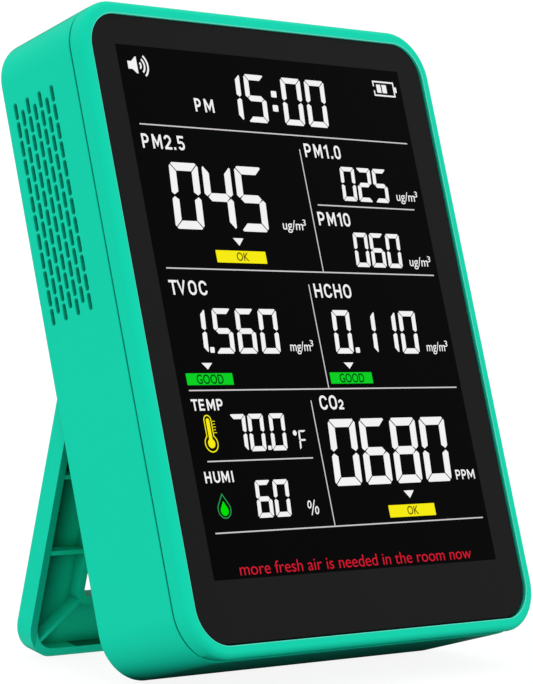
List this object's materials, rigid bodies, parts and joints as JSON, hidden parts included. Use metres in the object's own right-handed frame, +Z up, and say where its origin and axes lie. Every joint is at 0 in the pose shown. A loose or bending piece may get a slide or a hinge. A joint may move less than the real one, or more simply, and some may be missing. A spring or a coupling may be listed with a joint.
{
  "type": "air quality monitor",
  "caption": "Desktop air quality monitor: slim turquoise case with a full-face segment display, slotted side vents, rear buttons and a fold-out rear stand.",
  "frame": {"origin": "On the table plane, under the middle of the object's bounding box, with the stand open.", "axes": "+Z up, -Y towards the viewer of the display, +X to the viewer's right. The case leans back 20.8 degrees from vertical."},
  "size_m": [0.1156, 0.0804, 0.1496],
  "materials": {
    "shell": "fine satin moulded ABS, turquoise green",
    "window": "smoked acrylic window with a printed charcoal border",
    "foam": "closed-cell adhesive foam",
    "lcd": "liquid crystal cell",
    "light_guide": "white light guide",
    "frame_plastic": "dark moulded carrier",
    "flex_film": "amber polyimide film",
    "circuit_board": "green solder mask",
    "chip_package": "moulded epoxy",
    "steel": "plated steel",
    "button_plastic": "white satin buttons",
    "white_plastic": "natural nylon",
    "battery_foil": "laminated foil pouch",
    "red_wire": "red insulation",
    "black_wire": "black insulation",
    "sensor_black": "black moulded plastic",
    "sensor_gold": "gold-plated sensor housing"
  },
  "bodies": {
    "root": {"front_bezel": "shell", "rear_shell": "shell", "vent_screen_left": "shell", "vent_screen_right": "shell", "window_panel": "window", "window_gasket": "foam", "battery_pad": "foam", "lcd_glass": "lcd", "lcd_backlight": "light_guide", "lcd_frame": "frame_plastic", "display_cable": "flex_film", "button_cable": "flex_film", "main_board": "circuit_board", "button_board": "circuit_board", "particle_sensor_board": "circuit_board", "main_chip": "chip_package", "display_driver_chip": "chip_package", "charger_chip": "chip_package", "case_screw_1": "steel", "case_screw_2": "steel", "case_screw_3": "steel", "case_screw_4": "steel", "board_screw_1": "steel", "board_screw_2": "steel", "board_screw_3": "steel", "board_screw_4": "steel", "button_board_screw_1": "steel", "button_board_screw_2": "steel", "usb_socket": "steel", "fan_motor": "steel", "clock_crystal": "steel", "display_connector": "white_plastic", "battery_connector": "white_plastic", "climate_sensor": "white_plastic", "formaldehyde_sensor": "white_plastic", "battery_cell": "battery_foil", "battery_wire_red": "red_wire", "battery_wire_black": "black_wire", "particle_sensor_case": "sensor_black", "particle_sensor_lid": "sensor_black", "buzzer": "sensor_black", "tact_switch_power": "sensor_black", "tact_switch_set": "sensor_black", "tact_switch_up": "sensor_black", "tact_switch_down": "sensor_black", "tvoc_sensor": "sensor_gold", "carbon_dioxide_sensor": "sensor_gold", "particle_sensor_laser": "sensor_gold"},
    "stand": {"kickstand": "shell", "stand_pin_left": "steel", "stand_pin_right": "steel"},
    "fan": {"fan_impeller": "sensor_black"},
    "button_power": {"button_power": "button_plastic", "switch_plunger_power": "white_plastic"},
    "button_set": {"button_set": "button_plastic", "switch_plunger_set": "white_plastic"},
    "button_up": {"button_up": "button_plastic", "switch_plunger_up": "white_plastic"},
    "button_down": {"button_down": "button_plastic", "switch_plunger_down": "white_plastic"}
  },
  "joints": [
    {"name": "stand_hinge", "type": "hinge", "parent": "root", "child": "stand", "pos_m": [0, 0.00921, 0.06325], "axis": [1, 0, 0], "range_deg": [-30, 0]},
    {"name": "fan_spin", "type": "hinge", "parent": "root", "child": "fan", "pos_m": [-0.0286, 0.02082, 0.11372], "axis": [0, 0.9348, -0.3553], "continuous": true},
    {"name": "power_press", "type": "slide", "parent": "root", "child": "button_power", "axis": [0, -0.9348, 0.3553], "range_m": [0, 0.0004]},
    {"name": "set_press", "type": "slide", "parent": "root", "child": "button_set", "axis": [0, -0.9348, 0.3553], "range_m": [0, 0.0004]},
    {"name": "up_press", "type": "slide", "parent": "root", "child": "button_up", "axis": [0, -0.9348, 0.3553], "range_m": [0, 0.0004]},
    {"name": "down_press", "type": "slide", "parent": "root", "child": "button_down", "axis": [0, -0.9348, 0.3553], "range_m": [0, 0.0004]}
  ]
}
